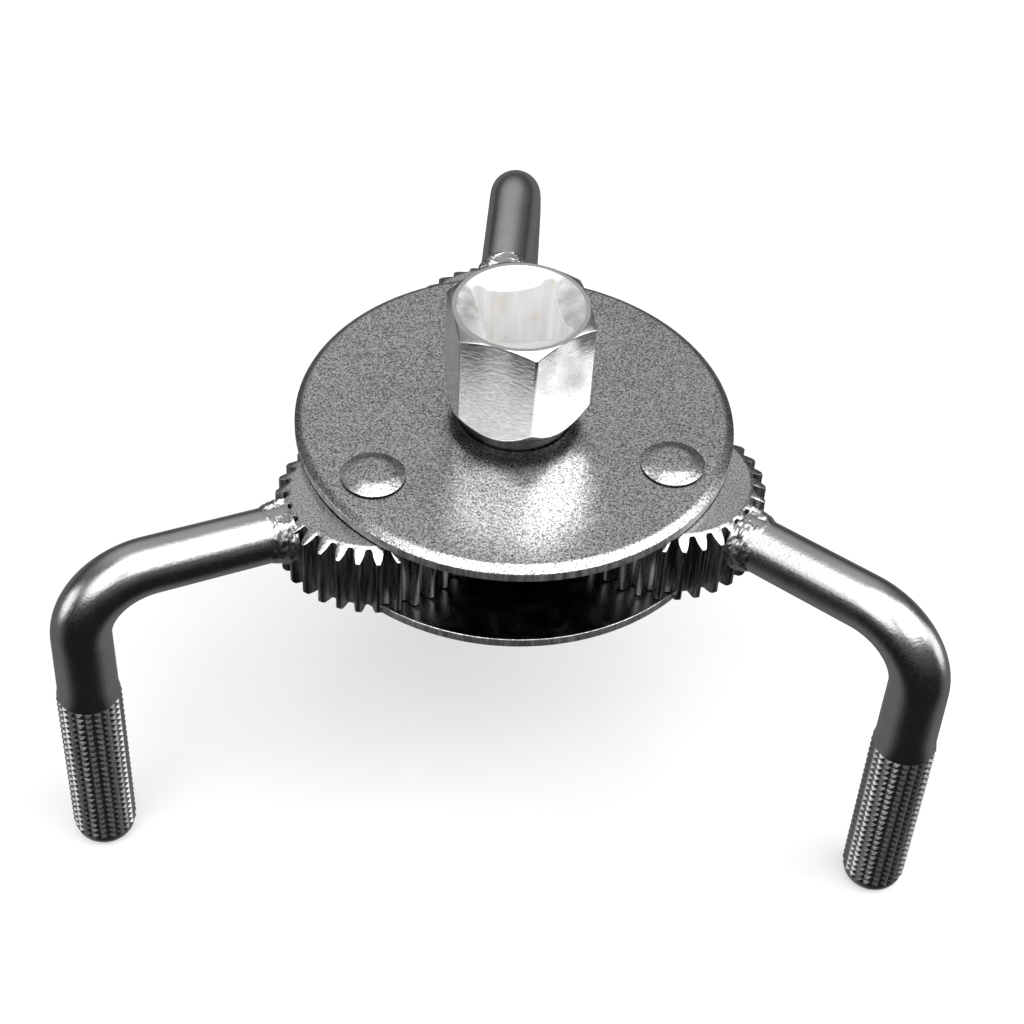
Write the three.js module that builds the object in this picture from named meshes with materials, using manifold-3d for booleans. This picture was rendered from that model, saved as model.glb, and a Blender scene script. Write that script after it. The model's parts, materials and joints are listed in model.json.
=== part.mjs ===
// Three-jaw two-way oil filter wrench, in millimetres, +Z up.
//
// A hexagonal drive hub with a square socket turns a sun gear between two round plates. The sun gear
// turns three geared heads on rivets, and each head carries a bent rod with a knurled end. Turning the
// hub either way swings the three knurled ends in together until they grip a filter.
//
// Origin: centre of the hub's lower end face, on the drive axis. +Y runs through the back rivet.

import * as THREE from 'three';
import { mergeVertices } from 'three/addons/utils/BufferGeometryUtils.js';
import Module from 'manifold-3d';

const wasm = await Module();
wasm.setup();

// ---- Driving dimensions -------------------------------------------------------------------------

const runningGap = 0.1;       // radial clearance of a shaft in its hole
const weldGap = 0.3;          // clearance between pieces that a weld bead joins
const cutMargin = 1;          // how far a cutting shape runs past what it cuts

// Sides of the round pieces
const plateSides = 72;
const shaftSides = 48;
const beadSides = 32;
const rivetSides = 24;
const rodSides = 20;

// Gear train: both gears share one module, so the three heads sit on one pitch distance.
const gearModule = 1.0;
const pressureAngle = THREE.MathUtils.degToRad(20);
const sunTeeth = 27;
const headTeeth = 30;
const toothThinning = 0.12;   // taken off each tooth at the pitch circle, for backlash
const addendum = 1.0;         // in modules
const dedendum = 1.25;        // in modules
const pivotRadius = gearModule * (sunTeeth + headTeeth) / 2;

// Plates
const plateRadius = 37;
const plateThickness = 2.6;
const plateGap = 13.6;
const plateRollOver = 1.0;    // rounding that blanking leaves on a plate's outward edge
const plateBreak = 0.2;       // small break of the inward edge
const plateStandOff = 2.3;    // from the hub's end face up to the bottom plate

// Heights that follow
const bottomPlateLow = plateStandOff;
const bottomPlateTop = bottomPlateLow + plateThickness;
const topPlateLow = bottomPlateTop + plateGap;
const topPlateTop = topPlateLow + plateThickness;
const gearClearance = 0.2;
const gearLow = bottomPlateTop + gearClearance;
const gearTop = topPlateLow - gearClearance;

// Geared heads
const headFlatRadius = 13.3;  // edge of the flat top, where the conical bevel through the teeth starts
const headBevelDrop = 1.6;    // how far the bevel has dropped at the tooth tips
const headLowerBreak = 0.5;

// Rivets
const rivetBodyRadius = 4.2;
const rivetNeckRadius = 3.3;
const rivetHeadRadius = 5.3;
const rivetHeadHeight = 1.3;
const rivetHeadEdge = 0.8;    // rounding of the formed head's edge
const rivetTailRadius = 5.0;
const rivetTailHeight = 1.1;
const rivetSeat = 0.05;       // clearance between a rivet's shoulders and the plates

// Drive hub
const hubTurn = 5.2;          // degrees from +X to the outward normal of the first hexagon face
const hexAcrossFlats = 22.4;
const hubHeight = 23.0;       // above the top plate
const hexFoot = 2.9;          // underside of the hexagon, above the top plate
const hexFootRadius = 10.9;
const hexFootSlope = 31;      // degrees from the axis, of the turned chamfer at the hexagon's foot
const hexCrownRadius = 11.2;
const hexCrownSlope = 30;     // degrees from the top face, of the chamfer round its corners
const neckRadius = 9.6;
const shankRadius = 8.9;
const shankHalfFlats = 7.5;
const journalRadius = 7.3;
const squareSize = 13.1;
const squareCornerRadius = 1.5;
const squareCornerRelief = 0.85;
const squareDepth = 17;
const mouthRadius = 10.5;     // rim of the shallow countersink
const mouthSlope = 29;        // degrees from the top face
const grooveRadius = 6.6;
const grooveLow = 0.9;
const grooveTop = 2.1;
const journalEndBreak = 0.4;

// Retaining ring
const ringLow = 1.0;
const ringThickness = 1.0;
const ringBore = 6.8;
const ringOuter = 9.2;
const ringOpening = 46;       // degrees left open between the two lugs
const lugRadius = 1.7;
const lugHoleRadius = 0.75;

// Bent rods
const rodRadius = 4.6;
const rodEnd = 14.6;          // from the rivet's axis to the rod's inner end, sunk in the head's rim
const footReach = 50.2;       // from the rivet's axis to the axis of the leg
const rodEndBreak = 0.3;
const bendRadius = 12.3;
const bendSteps = 8;
const barSwelling = 0.2;      // share of the leg's swelling reached at the bend's start
const bendSwelling = 0.8;     // and at its end
const legShoulderRadius = 5.1;
const knurlRadius = 5.45;
const knurlLip = 0.3;         // length of the step from the shoulder up to the knurl
const knurlStart = 33.2;      // below the top plate's top face
const legLength = 69.5;       // below the top plate's top face
const tipRadius = 2.9;        // flat that the leg stands on
const rodAxis = gearTop - rodRadius;

// Weld beads, round the rod just outside the tooth tips
const weldStart = 16.4;
const weldLength = 2.8;
const weldRootRadius = 6.1;
const weldBellyRadius = 5.8;
const weldBellyLength = 1.26; // from the bead's start to its belly
const weldToeRadius = 5.2;

// The three legs: where the rivet stands, and how far the rod is swung from pointing straight out.
const legs = [
  { name: 'back', pivotAngle: 90, swing: -10 },
  { name: 'left', pivotAngle: 210, swing: -13.3 },
  { name: 'right', pivotAngle: 330, swing: -12.2 },
];

// ---- Materials ----------------------------------------------------------------------------------

const steel = (color, roughness) => new THREE.MeshStandardMaterial({ color, roughness, metalness: 1 });
const blastedPlate = steel(0xa9aaad, 0.42);
const polishedChrome = steel(0xd6d6d4, 0.16);
const barChrome = steel(0xa2a3a6, 0.26);
const gearSteel = steel(0x8f9093, 0.34);
const weldMetal = steel(0x9d9c98, 0.5);
const springSteel = steel(0x4a4a4c, 0.4);

// ---- Solids -------------------------------------------------------------------------------------

const radians = THREE.MathUtils.degToRad;
const point = (x, y) => new THREE.Vector2(x, y);

// A three.js geometry as a closed solid that can be joined and cut.
function solidOf(geometry) {
  const bare = geometry.clone();
  bare.deleteAttribute('normal');
  bare.deleteAttribute('uv');
  const merged = mergeVertices(bare, 1e-5);
  const corners = merged.index.array;
  const kept = [];
  for (let i = 0; i < corners.length; i += 3) {
    const [a, b, c] = corners.slice(i, i + 3);
    if (a !== b && b !== c && c !== a) kept.push(a, b, c);
  }
  return new wasm.Manifold(new wasm.Mesh({
    numProp: 3,
    vertProperties: new Float32Array(merged.attributes.position.array),
    triVerts: new Uint32Array(kept),
  }));
}

// A solid as a three.js geometry.
function geometryOf(solid) {
  const mesh = solid.getMesh();
  const geometry = new THREE.BufferGeometry();
  geometry.setAttribute('position', new THREE.BufferAttribute(mesh.vertProperties, 3));
  geometry.setIndex(new THREE.BufferAttribute(mesh.triVerts, 1));
  geometry.computeVertexNormals();
  return geometry;
}

// A profile of (radius, height) points turned round the Z axis.
function turned(profile, segments) {
  return new THREE.LatheGeometry(profile, segments).rotateX(Math.PI / 2);
}

function rod(radius, low, high, segments = shaftSides) {
  return turned([point(0, low), point(radius, low), point(radius, high), point(0, high)], segments);
}

function slab(shape, low, high, curveSegments = 12) {
  const options = { depth: high - low, bevelEnabled: false, curveSegments };
  return new THREE.ExtrudeGeometry(shape, options).translate(0, 0, low);
}

// Points of a quarter round, from startAngle to startAngle + 90 degrees.
function quarterRound(x, y, radius, startAngle, steps) {
  return Array.from({ length: steps + 1 }, (_, i) => {
    const angle = radians(startAngle + 90 * i / steps);
    return point(x + radius * Math.cos(angle), y + radius * Math.sin(angle));
  });
}

// ---- Gears --------------------------------------------------------------------------------------

const involute = (angle) => Math.tan(angle) - angle;

// Outline of an involute gear with one tooth centred on +X.
function gearOutline(teeth) {
  const pitch = gearModule * teeth / 2;
  const base = pitch * Math.cos(pressureAngle);
  const tip = pitch + addendum * gearModule;
  const root = pitch - dedendum * gearModule;
  const halfToothAtPitch = (Math.PI * gearModule / 2 - toothThinning) / (2 * pitch);
  const halfTooth = (radius) => halfToothAtPitch + involute(pressureAngle)
    - (radius > base ? involute(Math.acos(base / radius)) : 0);
  const flank = [root, base, pitch, tip];
  const outline = [];
  for (let tooth = 0; tooth < teeth; tooth += 1) {
    const centre = 2 * Math.PI * tooth / teeth;
    const place = (radius, side) => {
      const angle = centre + side * halfTooth(radius);
      outline.push(point(radius * Math.cos(angle), radius * Math.sin(angle)));
    };
    flank.forEach((radius) => place(radius, -1));
    flank.toReversed().forEach((radius) => place(radius, 1));
  }
  return new THREE.Shape(outline);
}

// A geared head in the leg's own frame: rivet axis at the origin, rod along +X.
function gearedHead(swing) {
  const tip = gearModule * (headTeeth / 2 + addendum);
  const slope = headBevelDrop / (tip - headFlatRadius);
  const skirt = tip + cutMargin;
  const bevel = turned([
    point(0, gearLow),
    point(tip - headLowerBreak, gearLow),
    point(skirt, gearLow + headLowerBreak + cutMargin),
    point(skirt, gearTop - (skirt - headFlatRadius) * slope),
    point(headFlatRadius, gearTop),
    point(0, gearTop),
  ], 2 * headTeeth);
  const teeth = slab(gearOutline(headTeeth), gearLow, gearTop).rotateZ(radians(-swing));
  const bore = rod(rivetBodyRadius + runningGap, gearLow - cutMargin, gearTop + cutMargin);
  const pocketLength = tip - rodEnd + cutMargin;
  const pocket = rod(rodRadius + weldGap, rodEnd - weldGap, rodEnd + pocketLength, beadSides)
    .rotateY(Math.PI / 2)
    .translate(0, 0, rodAxis);
  return geometryOf(solidOf(teeth)
    .intersect(solidOf(bevel))
    .subtract(solidOf(bore))
    .subtract(solidOf(pocket)));
}

// The sun gear, with a gap between two teeth facing each rivet and a bore with two flats.
function sunGear() {
  const halfPitch = Math.PI / sunTeeth;
  const teeth = slab(gearOutline(sunTeeth), gearLow, gearTop).rotateZ(Math.PI / 2 + halfPitch);
  const bore = flattedRod(
    shankRadius + runningGap,
    shankHalfFlats + runningGap,
    gearLow - cutMargin,
    gearTop + cutMargin,
  );
  return geometryOf(solidOf(teeth).subtract(bore.rotate([0, 0, hubTurn])));
}

// A round bar with two opposite flats, as a solid.
function flattedRod(radius, halfFlats, low, high) {
  const flats = new THREE.BoxGeometry(2 * radius + cutMargin, 2 * halfFlats, 2 * (high - low))
    .translate(0, 0, (low + high) / 2);
  return solidOf(rod(radius, low, high)).intersect(solidOf(flats));
}

// ---- Plates and rivets --------------------------------------------------------------------------

// A round plate with its rolled-over edge on top and holes for the hub and the rivets.
function plate(low, hubHole) {
  const high = low + plateThickness;
  const blank = turned([
    point(0, low),
    point(plateRadius - plateBreak, low),
    point(plateRadius, low + plateBreak),
    ...quarterRound(plateRadius - plateRollOver, high - plateRollOver, plateRollOver, 0, 3),
    point(0, high),
  ], plateSides);
  const through = (radius, sides) => rod(radius, low - cutMargin, high + cutMargin, sides);
  let solid = solidOf(blank).subtract(solidOf(through(hubHole, shaftSides)));
  for (const { pivotAngle } of legs) {
    const hole = through(rivetNeckRadius + runningGap, rivetSides)
      .translate(pivotRadius, 0, 0)
      .rotateZ(radians(pivotAngle));
    solid = solid.subtract(solidOf(hole));
  }
  return solid;
}

function topPlate() {
  return geometryOf(plate(topPlateLow, neckRadius + runningGap));
}

// The same stamping turned over, so that its rolled-over edge faces down.
function bottomPlate() {
  const turnedOver = plate(bottomPlateLow, journalRadius + runningGap)
    .mirror([0, 0, 1])
    .translate([0, 0, bottomPlateLow + bottomPlateTop]);
  return geometryOf(turnedOver);
}

// A shouldered rivet: a body that spaces the plates, necks through them and two formed heads.
function rivet() {
  const headLow = topPlateTop + rivetSeat;
  const headTop = headLow + rivetHeadHeight;
  const tailTop = bottomPlateLow - rivetSeat;
  const tailLow = tailTop - rivetTailHeight;
  return geometryOf(solidOf(turned([
    point(0, tailLow),
    point(rivetTailRadius - rivetHeadEdge, tailLow),
    point(rivetTailRadius, tailLow + rivetHeadEdge),
    point(rivetTailRadius, tailTop),
    point(rivetNeckRadius, tailTop),
    point(rivetNeckRadius, bottomPlateTop + rivetSeat),
    point(rivetBodyRadius, bottomPlateTop + rivetSeat),
    point(rivetBodyRadius, topPlateLow - rivetSeat),
    point(rivetNeckRadius, topPlateLow - rivetSeat),
    point(rivetNeckRadius, headLow),
    point(rivetHeadRadius, headLow),
    ...quarterRound(rivetHeadRadius - rivetHeadEdge, headTop - rivetHeadEdge, rivetHeadEdge, 0, 2),
    point(0, headTop),
  ], rivetSides)));
}

// ---- Drive hub ----------------------------------------------------------------------------------

// Outline of the drive square, its corners opened into small rounded reliefs.
function squareOutline() {
  const half = squareSize / 2;
  const reach = half + squareCornerRelief / Math.SQRT2;
  const centre = reach - squareCornerRadius;
  const side = Math.acos((half - centre) / squareCornerRadius);
  const outline = new THREE.Shape();
  for (let corner = 0; corner < 4; corner += 1) {
    const turn = corner * Math.PI / 2;
    const x = centre * (Math.cos(turn) - Math.sin(turn));
    const y = centre * (Math.sin(turn) + Math.cos(turn));
    outline.absarc(x, y, squareCornerRadius, turn - side, turn + Math.PI / 2 + side, false);
  }
  return outline;
}

function driveHub() {
  const top = topPlateTop + hubHeight;
  const foot = topPlateTop + hexFoot;
  const cornerRadius = hexAcrossFlats / Math.sqrt(3);
  const beyond = cornerRadius + cutMargin;
  const footRise = (beyond - hexFootRadius) / Math.tan(radians(hexFootSlope));
  const crownDrop = (beyond - hexCrownRadius) * Math.tan(radians(hexCrownSlope));
  const hexagon = new THREE.Shape(Array.from({ length: 6 }, (_, i) => {
    const angle = radians(30 + 60 * i);
    return point(cornerRadius * Math.cos(angle), cornerRadius * Math.sin(angle));
  }));
  const envelope = turned([
    point(0, foot),
    point(hexFootRadius, foot),
    point(beyond, foot + footRise),
    point(beyond, top - crownDrop),
    point(hexCrownRadius, top),
    point(0, top),
  ], plateSides);
  const head = solidOf(slab(hexagon, foot, top)).intersect(solidOf(envelope));
  const neck = solidOf(rod(neckRadius, gearTop, foot + cutMargin));
  const shank = flattedRod(shankRadius, shankHalfFlats, gearLow, gearTop + cutMargin);
  const journal = solidOf(turned([
    point(0, 0),
    point(journalRadius - journalEndBreak, 0),
    point(journalRadius, journalEndBreak),
    point(journalRadius, grooveLow),
    point(grooveRadius, grooveLow),
    point(grooveRadius, grooveTop),
    point(journalRadius, grooveTop),
    point(journalRadius, gearLow + cutMargin),
    point(0, gearLow + cutMargin),
  ], shaftSides));
  const square = solidOf(slab(squareOutline(), top - squareDepth, top + cutMargin, 6));
  const sinkSlope = Math.tan(radians(mouthSlope));
  const countersink = solidOf(turned([
    point(0, top - mouthRadius * sinkSlope),
    point(mouthRadius + cutMargin, top + cutMargin * sinkSlope),
    point(0, top + cutMargin * sinkSlope),
  ], shaftSides));
  return geometryOf(head.add(neck).add(shank).add(journal).subtract(square).subtract(countersink));
}

// An open spring ring with a drilled lug at each end, in the groove at the hub's lower end.
function retainingRing() {
  const half = radians(ringOpening / 2);
  const band = new THREE.Shape();
  band.absarc(0, 0, ringOuter, half, 2 * Math.PI - half, false);
  band.absarc(0, 0, ringBore, 2 * Math.PI - half, half, true);
  const ringTop = ringLow + ringThickness;
  let ring = solidOf(slab(band, ringLow, ringTop, rodSides));
  const lugCentre = ringBore + lugRadius;
  for (const side of [-1, 1]) {
    const place = (geometry) => solidOf(geometry.translate(lugCentre, 0, 0).rotateZ(side * half));
    ring = ring.add(place(rod(lugRadius, ringLow, ringTop, rivetSides)));
    ring = ring.subtract(place(rod(lugHoleRadius, ringLow - cutMargin, ringTop + cutMargin, rivetSides)));
  }
  return geometryOf(ring);
}

// ---- Bent rods and welds ------------------------------------------------------------------------

// A turned rod, knurled end last, bent down through a right angle. It starts at the head along +X.
function bentRod() {
  const barLength = footReach - bendRadius - rodEnd;
  const arcLength = bendRadius * Math.PI / 2;
  const bendEnd = barLength + arcLength;
  const length = bendEnd + rodAxis - bendRadius - (topPlateTop - legLength);
  const knurl = bendEnd + rodAxis - bendRadius - (topPlateTop - knurlStart);
  const profile = [point(0, 0), point(rodRadius - rodEndBreak, 0), point(rodRadius, rodEndBreak)];
  for (let i = 0; i <= bendSteps; i += 1) {
    const along = barLength + arcLength * i / bendSteps;
    const swelling = THREE.MathUtils.lerp(barSwelling, bendSwelling, i / bendSteps);
    profile.push(point(THREE.MathUtils.lerp(rodRadius, legShoulderRadius, swelling), along));
  }
  profile.push(point(legShoulderRadius, knurl));
  profile.push(point(knurlRadius, knurl + knurlLip));
  profile.push(...quarterRound(tipRadius, length - (knurlRadius - tipRadius),
    knurlRadius - tipRadius, 0, 3));
  profile.push(point(0, length));
  const geometry = new THREE.LatheGeometry(profile, rodSides);
  const position = geometry.attributes.position;
  for (let i = 0; i < position.count; i += 1) {
    const along = position.getY(i);
    const side = -position.getX(i);
    const up = position.getZ(i);
    const turn = THREE.MathUtils.clamp((along - barLength) / bendRadius, 0, Math.PI / 2);
    const straight = Math.min(along, barLength);
    const drop = Math.max(along - bendEnd, 0);
    const arm = bendRadius + up;
    position.setXYZ(i,
      rodEnd + straight + arm * Math.sin(turn),
      side,
      rodAxis - bendRadius + arm * Math.cos(turn) - drop);
  }
  return geometryOf(solidOf(geometry));
}

// A bead round the sides and underside of the rod's root. Its top is level with the head, so that it
// swings under the top plate.
function weldBead() {
  const inner = rodRadius + weldGap;
  const collar = turned([
    point(inner, weldStart),
    point(weldRootRadius, weldStart),
    point(weldBellyRadius, weldStart + weldBellyLength),
    point(weldToeRadius, weldStart + weldLength),
    point(inner, weldStart + weldLength),
    point(inner, weldStart),
  ], beadSides).rotateY(Math.PI / 2).translate(0, 0, rodAxis);
  const size = 4 * weldRootRadius;
  const roomAbove = new THREE.BoxGeometry(size, size, size)
    .translate(weldStart, 0, gearTop - weldGap + size / 2);
  return geometryOf(solidOf(collar).subtract(solidOf(roomAbove)));
}

// ---- Assembly -----------------------------------------------------------------------------------

const wrench = new THREE.Group();

function addMesh(group, name, geometry, material) {
  const mesh = new THREE.Mesh(geometry, material);
  mesh.name = name;
  group.add(mesh);
  return mesh;
}

addMesh(wrench, 'top_plate', topPlate(), blastedPlate);
addMesh(wrench, 'bottom_plate', bottomPlate(), blastedPlate);
addMesh(wrench, 'drive_hub', driveHub(), polishedChrome).rotation.z = radians(hubTurn);
addMesh(wrench, 'sun_gear', sunGear(), gearSteel);
addMesh(wrench, 'retaining_ring', retainingRing(), springSteel);

for (const { name, pivotAngle, swing } of legs) {
  const pivot = new THREE.Group();
  pivot.rotation.z = radians(pivotAngle);
  wrench.add(pivot);
  addMesh(pivot, `rivet_${name}`, rivet(), blastedPlate).position.x = pivotRadius;

  const jaw = new THREE.Group();
  jaw.position.x = pivotRadius;
  jaw.rotation.z = radians(swing);
  pivot.add(jaw);
  addMesh(jaw, `jaw_gear_${name}`, gearedHead(swing), gearSteel);
  addMesh(jaw, `jaw_rod_${name}`, bentRod(), barChrome);
  addMesh(jaw, `jaw_weld_${name}`, weldBead(), weldMetal);
}

export default wrench;
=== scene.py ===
"""Looks of the three-jaw oil filter wrench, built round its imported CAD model.

Shapes are worked out in millimetres and stored in metres. Sizes come from the frame where it has them, and
the rest are the named values below, which repeat the CAD model's.
"""

import json
import math

import bmesh
import bpy
import numpy as np
from mathutils import Matrix, Vector, noise


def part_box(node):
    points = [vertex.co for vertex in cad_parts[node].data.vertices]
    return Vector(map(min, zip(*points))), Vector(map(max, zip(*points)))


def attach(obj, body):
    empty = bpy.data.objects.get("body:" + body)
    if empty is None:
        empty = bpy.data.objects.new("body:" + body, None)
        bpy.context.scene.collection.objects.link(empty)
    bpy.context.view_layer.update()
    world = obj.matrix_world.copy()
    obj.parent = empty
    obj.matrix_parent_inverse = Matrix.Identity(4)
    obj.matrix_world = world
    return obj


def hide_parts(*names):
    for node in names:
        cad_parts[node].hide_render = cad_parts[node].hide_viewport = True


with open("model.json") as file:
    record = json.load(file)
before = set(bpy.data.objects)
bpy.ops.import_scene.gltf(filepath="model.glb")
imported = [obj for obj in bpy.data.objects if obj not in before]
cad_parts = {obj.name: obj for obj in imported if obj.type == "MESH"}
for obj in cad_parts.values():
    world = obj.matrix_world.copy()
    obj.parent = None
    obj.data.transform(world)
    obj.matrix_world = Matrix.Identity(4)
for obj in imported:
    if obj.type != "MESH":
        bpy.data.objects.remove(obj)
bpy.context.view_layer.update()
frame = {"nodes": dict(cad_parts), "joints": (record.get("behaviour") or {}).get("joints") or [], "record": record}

MM = 0.001
ROUND_SEGMENTS = 192
# Edges that turn by more than these are shaded as sharp, in degrees.
SHARP_ANGLE = 32
BROKEN_EDGE_SHARP_ANGLE = 50
KNURL_SHARP_ANGLE = 28
WELD_SHARP_ANGLE = 60

# ---- Sizes read from the frame, in millimetres ---------------------------------------------------

record = frame["record"]
joint_at = {j["name"]: Vector(j["pos_m"]) / MM for j in frame["joints"]}
mount_at = {m["name"]: Vector(m["pos_m"]) / MM for m in record["mounts"]}


def box_mm(node):
    low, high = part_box(node)
    return low / MM, high / MM


plate_low, plate_high = box_mm("top_plate")
PLATE_RADIUS = plate_high.x
PLATE_TOP = plate_high.z
PLATE_UNDER = plate_low.z
PLATE_THICKNESS = plate_high.z - plate_low.z
BOTTOM_PLATE_LOW = box_mm("bottom_plate")[0].z
GEAR_LOW, GEAR_TOP = (corner.z for corner in box_mm("sun_gear"))
HUB_LOW, HUB_TOP = (corner.z for corner in box_mm("drive_hub"))
RIVET_LOW, RIVET_TOP = (corner.z for corner in box_mm("rivet_left"))
FOOT_LEVEL = mount_at["foot_left"].z
SOCKET_FLOOR = mount_at["drive_socket_floor"].z
LEGS = ("back", "left", "right")


def pivot_of(leg):
    return joint_at[f"jaw_{leg}_swing"]


def arm_angle(leg):
    """The direction in which a leg's arm points, in radians from +X."""
    reach = mount_at[f"foot_{leg}"] - pivot_of(leg)
    return math.atan2(reach.y, reach.x)


FOOT_REACH = (mount_at["foot_back"] - pivot_of("back")).xy.length
hex_face = mount_at["hex_face"]
HUB_TURN = math.atan2(hex_face.y, hex_face.x)
HEX_HALF_FLATS = hex_face.xy.length

# ---- Sizes that repeat the CAD model's, in millimetres -------------------------------------------

RUNNING_GAP = 0.1
GEAR_MODULE = 1.0
PRESSURE_ANGLE = math.radians(20)
SUN_TEETH = 27
HEAD_TEETH = 30
TOOTH_THINNING = 0.12
ADDENDUM = 1.0
DEDENDUM = 1.25
HEAD_FLAT_RADIUS = 13.3
HEAD_BEVEL_DROP = 1.6
RIVET_BODY_RADIUS = 4.2
RIVET_NECK_RADIUS = 3.3
RIVET_HEAD_RADIUS = 5.3
RIVET_TAIL_RADIUS = 5.0
HEX_FOOT = PLATE_TOP + 2.9
HEX_FOOT_RADIUS = 10.9
HEX_FOOT_SLOPE = math.radians(31)
HEX_CROWN_RADIUS = 11.2
HEX_CROWN_SLOPE = math.radians(30)
NECK_RADIUS = 9.6
SHANK_RADIUS = 8.9
SHANK_HALF_FLATS = 7.5
JOURNAL_RADIUS = 7.3
GROOVE_RADIUS = 6.6
GROOVE_LOW = 0.9
GROOVE_TOP = 2.1
SQUARE_SIZE = 13.1
SQUARE_CORNER_RADIUS = 1.5
SQUARE_CORNER_RELIEF = 0.85
MOUTH_RADIUS = 10.5
MOUTH_SLOPE = math.radians(29)
ROD_RADIUS = 4.6
ROD_END = 14.6
BEND_RADIUS = 12.3
BAR_SWELLING = 0.2
BEND_SWELLING = 0.8
LEG_SHOULDER_RADIUS = 5.1
KNURL_RADIUS = 5.45
KNURL_TOP = PLATE_TOP - 33.2
TIP_RADIUS = 2.9
ROD_AXIS = GEAR_TOP - ROD_RADIUS
WELD_START = 14.2
WELD_LENGTH = 4.6
WELD_ROOT_RADIUS = 5.35


# ---- Meshes --------------------------------------------------------------------------------------

def rounded(profile, steps=4, closed=False):
    """The points of a profile of (radius, height, rounding) corners, with each corner rounded. How many there
    are depends only on which corners have a rounding, so profiles of one kind can be joined into a skin."""
    count = len(profile)
    points = []
    for i, (r, z, rounding) in enumerate(profile):
        corner = np.array((r, z), float)
        inner = closed or 0 < i < count - 1
        if rounding <= 0 or not inner:
            points.append(corner)
            continue
        before = np.array(profile[i - 1][:2], float) - corner
        after = np.array(profile[(i + 1) % count][:2], float) - corner
        reach_before = min(rounding, 0.45 * np.linalg.norm(before))
        reach_after = min(rounding, 0.45 * np.linalg.norm(after))
        start = corner + before * reach_before / max(np.linalg.norm(before), 1e-9)
        end = corner + after * reach_after / max(np.linalg.norm(after), 1e-9)
        for t in np.linspace(0, 1, steps + 1):
            points.append((1 - t) ** 2 * start + 2 * t * (1 - t) * corner + t ** 2 * end)
    return points


def piece_from(name, points, faces, sharp=SHARP_ANGLE):
    """A closed mesh object from points in millimetres."""
    mesh = bpy.data.meshes.new(name)
    mesh.from_pydata([tuple(float(c) * MM for c in p) for p in points], [], faces)
    bm = bmesh.new()
    bm.from_mesh(mesh)
    bmesh.ops.remove_doubles(bm, verts=bm.verts, dist=1e-7)
    bmesh.ops.dissolve_degenerate(bm, edges=bm.edges, dist=1e-7)
    bmesh.ops.recalc_face_normals(bm, faces=bm.faces)
    bm.to_mesh(mesh)
    bm.free()
    shade(mesh, sharp)
    piece = bpy.data.objects.new(name, mesh)
    bpy.context.scene.collection.objects.link(piece)
    return piece


def shade(mesh, sharp=SHARP_ANGLE):
    """Shades a mesh as smooth but for its sharp edges."""
    mesh.shade_smooth()
    mesh.set_sharp_from_angle(angle=math.radians(sharp))


def turned_skin(name, angles, column, closed=False):
    """A skin round Z. column(i, angle) gives the (radius, height) points up the outside at an angle."""
    columns = [column(i, angle) for i, angle in enumerate(angles)]
    rows = len(columns[0])
    points = []
    for angle, profile in zip(angles, columns):
        c, s = math.cos(angle), math.sin(angle)
        points += [(r * c, r * s, z) for r, z in profile]
    faces = []
    for i in range(len(angles)):
        j = (i + 1) % len(angles)
        for k in range(rows if closed else rows - 1):
            m = (k + 1) % rows
            faces.append((i * rows + k, j * rows + k, j * rows + m, i * rows + m))
    return piece_from(name, points, faces)


def lathe(name, profile, closed=False, segments=ROUND_SEGMENTS, steps=4):
    """A profile turned round Z, with its corners rounded."""
    points = rounded(profile, steps, closed)
    angles = np.linspace(0, 2 * math.pi, segments, endpoint=False)
    return turned_skin(name, angles, lambda i, angle: points, closed)


def applied(piece):
    """Bakes a piece's modifiers into its mesh."""
    evaluated = piece.evaluated_get(bpy.context.evaluated_depsgraph_get())
    mesh = bpy.data.meshes.new_from_object(evaluated)
    piece.modifiers.clear()
    piece.data = mesh
    return piece


def cut(piece, cutter):
    """Takes the cutter's shape out of the piece, and removes the cutter."""
    modifier = piece.modifiers.new("cut", "BOOLEAN")
    modifier.operation = "DIFFERENCE"
    modifier.solver = "EXACT"
    modifier.object = cutter
    applied(piece)
    bpy.data.objects.remove(cutter)
    shade(piece.data)
    return piece


def break_edges(piece, width):
    """Rounds a piece's sharp edges over."""
    modifier = piece.modifiers.new("edge_break", "BEVEL")
    modifier.width = width * MM
    modifier.segments = 2
    modifier.limit_method = "ANGLE"
    modifier.angle_limit = math.radians(SHARP_ANGLE)
    applied(piece)
    shade(piece.data, BROKEN_EDGE_SHARP_ANGLE)
    return piece


def place(piece, at, turn=0.0):
    """Moves a piece built round the origin to a point in millimetres, turned about Z."""
    piece.data.transform(Matrix.Translation(at * MM) @ Matrix.Rotation(turn, 4, "Z"))
    return piece


def finish_piece(piece, body, node):
    """Fixes a piece to its body, in place of a node of the CAD model."""
    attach(piece, body)
    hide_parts(node)


def paint(piece, materials, choose=lambda centre, normal: 0):
    """Gives each face the material whose place in the list choose(centre, normal) returns."""
    piece.data.materials.clear()
    for material in materials:
        piece.data.materials.append(material)
    for face in piece.data.polygons:
        face.material_index = choose(face.center / MM, face.normal)


# ---- Plates and rivets ---------------------------------------------------------------------------

ROLL_OVER_WIDTH = 1.3
ROLL_OVER_DROP = 1.0
ROLL_OVER_ROUNDING = 0.6
RIM_ROUNDING = 0.16
PLATE_BREAK = 0.25
SPOT_FACE_RADIUS = RIVET_HEAD_RADIUS + 0.2
SPOT_FACE_DEPTH = 0.2
RIVET_SEGMENTS = 96


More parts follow.
